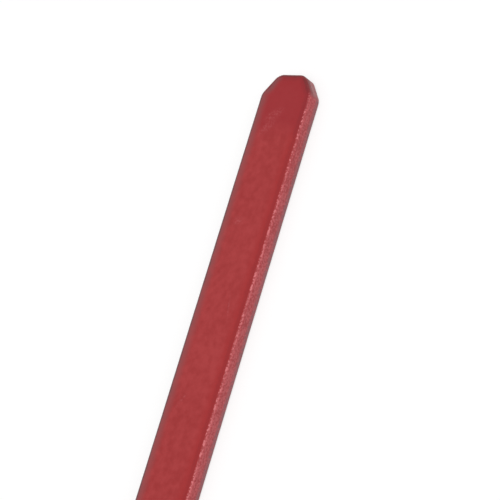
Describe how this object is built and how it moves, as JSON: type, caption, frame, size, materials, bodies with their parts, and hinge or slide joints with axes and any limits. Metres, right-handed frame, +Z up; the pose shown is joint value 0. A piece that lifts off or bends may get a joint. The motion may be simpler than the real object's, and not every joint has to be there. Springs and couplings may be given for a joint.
{
  "type": "hive tool",
  "caption": "Flat steel hive tool with a wide bevelled scraping blade, a side notch for lifting frames, a nail keyhole and a moulded red grip.",
  "frame": {"origin": "middle of the tool's box on the flat surface that it lies on", "axes": "+X along the tool from the scraping edge to the handle's end, +Y across it, +Z up out of the face that carries the bevel"},
  "size_m": [0.28, 0.045, 0.0064],
  "materials": {
    "ground_steel": "satin ground, bright at the bevel",
    "red_grip": "satin moulded vinyl"
  },
  "bodies": {
    "root": {"blade_and_tang": "ground_steel", "handle_grip": "red_grip"}
  },
  "joints": []
}
